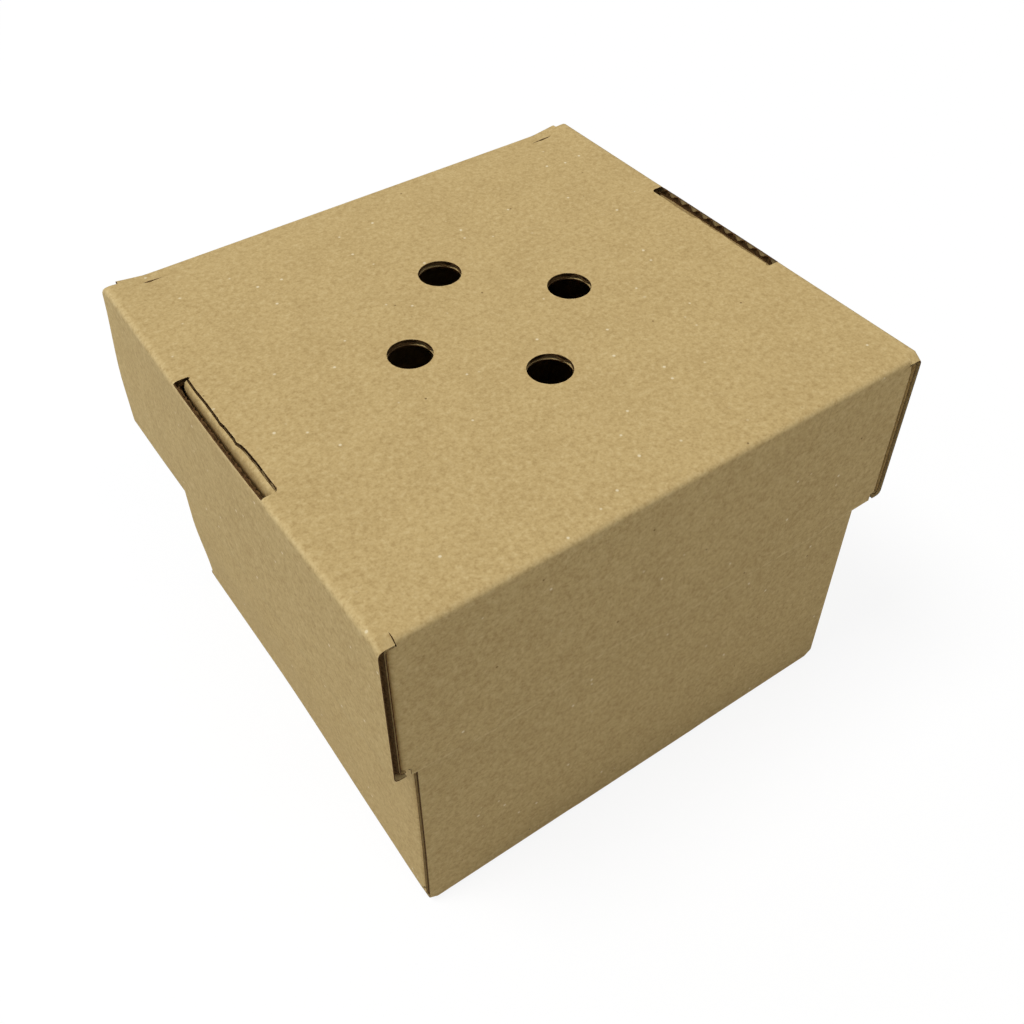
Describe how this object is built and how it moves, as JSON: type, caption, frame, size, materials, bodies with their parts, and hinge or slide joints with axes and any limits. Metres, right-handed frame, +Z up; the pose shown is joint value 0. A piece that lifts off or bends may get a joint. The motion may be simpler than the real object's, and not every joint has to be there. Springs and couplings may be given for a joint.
{
  "type": "burger box",
  "caption": "Near-square corrugated takeaway burger box: a shallow vented lid with doubled side walls lifts off a deeper folded base tray.",
  "frame": {"origin": "middle of the underside of the base tray", "axes": "+X from one double wall of the lid to the other, +Y from one single wall of the lid to the other, +Z up"},
  "size_m": [0.12, 0.113, 0.0915],
  "materials": {
    "kraft_board": "matt unbleached kraft liner with fine fibre flecks"
  },
  "bodies": {
    "base": {"base_tray": "kraft_board"},
    "lid": {"vented_lid": "kraft_board"}
  },
  "joints": [
    {"name": "lid_lift", "type": "slide", "parent": "base", "child": "lid", "axis": [0, 0, 1], "range_m": [0, 0.06]}
  ]
}
